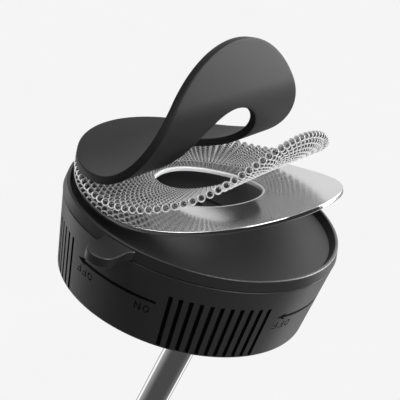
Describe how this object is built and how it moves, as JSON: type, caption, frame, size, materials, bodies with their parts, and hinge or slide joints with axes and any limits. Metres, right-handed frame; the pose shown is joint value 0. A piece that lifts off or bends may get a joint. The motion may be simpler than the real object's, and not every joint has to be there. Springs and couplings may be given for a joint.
{
  "type": "twist-lock vacuum mount with arm",
  "caption": "Twist-lock vacuum suction mount, suction side up: ribbed lock ring, rubber cup with pull tab, peeled steel, bead and pad layers, and a swivelling, folding chrome arm rod.",
  "frame": {"origin": "centre of the suction cup's rim plane, on the mount's main axis", "axes": "+Z along the main axis, out of the suction side; +X towards the side that the arm's hinge is offset to; -Y towards the hinge bolt's head"},
  "size_m": [0.071, 0.0779, 0.1444],
  "materials": {
    "black_rubber": "matt",
    "black_plastic": "fine matt",
    "mirror_steel": "polished",
    "clear_gel": "clear, domed beads",
    "pad_rubber": "matt",
    "dark_housing": "satin",
    "zinc_steel": "zinc plated",
    "pin_steel": "ground",
    "spring_wire": "drawn wire",
    "ptfe": "satin",
    "acetal": "satin",
    "chrome": "polished",
    "adhesive": "soft"
  },
  "bodies": {
    "base": {"suction_cup": "black_rubber", "spring_steel_disc": "mirror_steel", "bead_layer": "clear_gel", "contact_pad": "pad_rubber", "lower_bond": "adhesive", "middle_bond": "adhesive", "upper_bond": "adhesive", "housing": "dark_housing", "base_cap": "black_plastic", "cap_screws": "zinc_steel", "thrust_washer": "ptfe"},
    "lock_ring": {"twist_ring": "black_plastic", "cam_sleeve": "acetal"},
    "lift_carriage": {"cup_core": "black_rubber", "lift_plate": "dark_housing", "follower_pin": "pin_steel", "return_spring": "spring_wire"},
    "turret": {"swivel_turret": "black_plastic", "swivel_washer": "ptfe", "swivel_bolt": "zinc_steel", "spring_washer": "zinc_steel", "swivel_nut": "zinc_steel", "hinge_bolt": "zinc_steel", "hinge_nut": "zinc_steel", "friction_washers": "ptfe"},
    "arm": {"rod_knuckle": "chrome", "arm_rod": "chrome", "rod_end_fitting": "chrome"}
  },
  "joints": [
    {"name": "ring_turn", "type": "hinge", "parent": "base", "child": "lock_ring", "pos_m": [0, 0, -0.012], "axis": [0, 0, 1], "range_deg": [0, 40]},
    {"name": "core_lift", "type": "slide", "parent": "base", "child": "lift_carriage", "axis": [0, 0, -1], "range_m": [0, 0.003], "deforming": ["return_spring"]},
    {"name": "turret_swivel", "type": "hinge", "parent": "base", "child": "turret", "pos_m": [0, 0, -0.0236], "axis": [0, 0, 1], "continuous": true},
    {"name": "arm_fold", "type": "hinge", "parent": "turret", "child": "arm", "pos_m": [0.007, 0, -0.03], "axis": [0, 1, 0], "range_deg": [-98, 79]}
  ],
  "couplings": [
    {"joint": "core_lift", "follows": "ring_turn", "m_per_rad": 0.0042971}
  ]
}
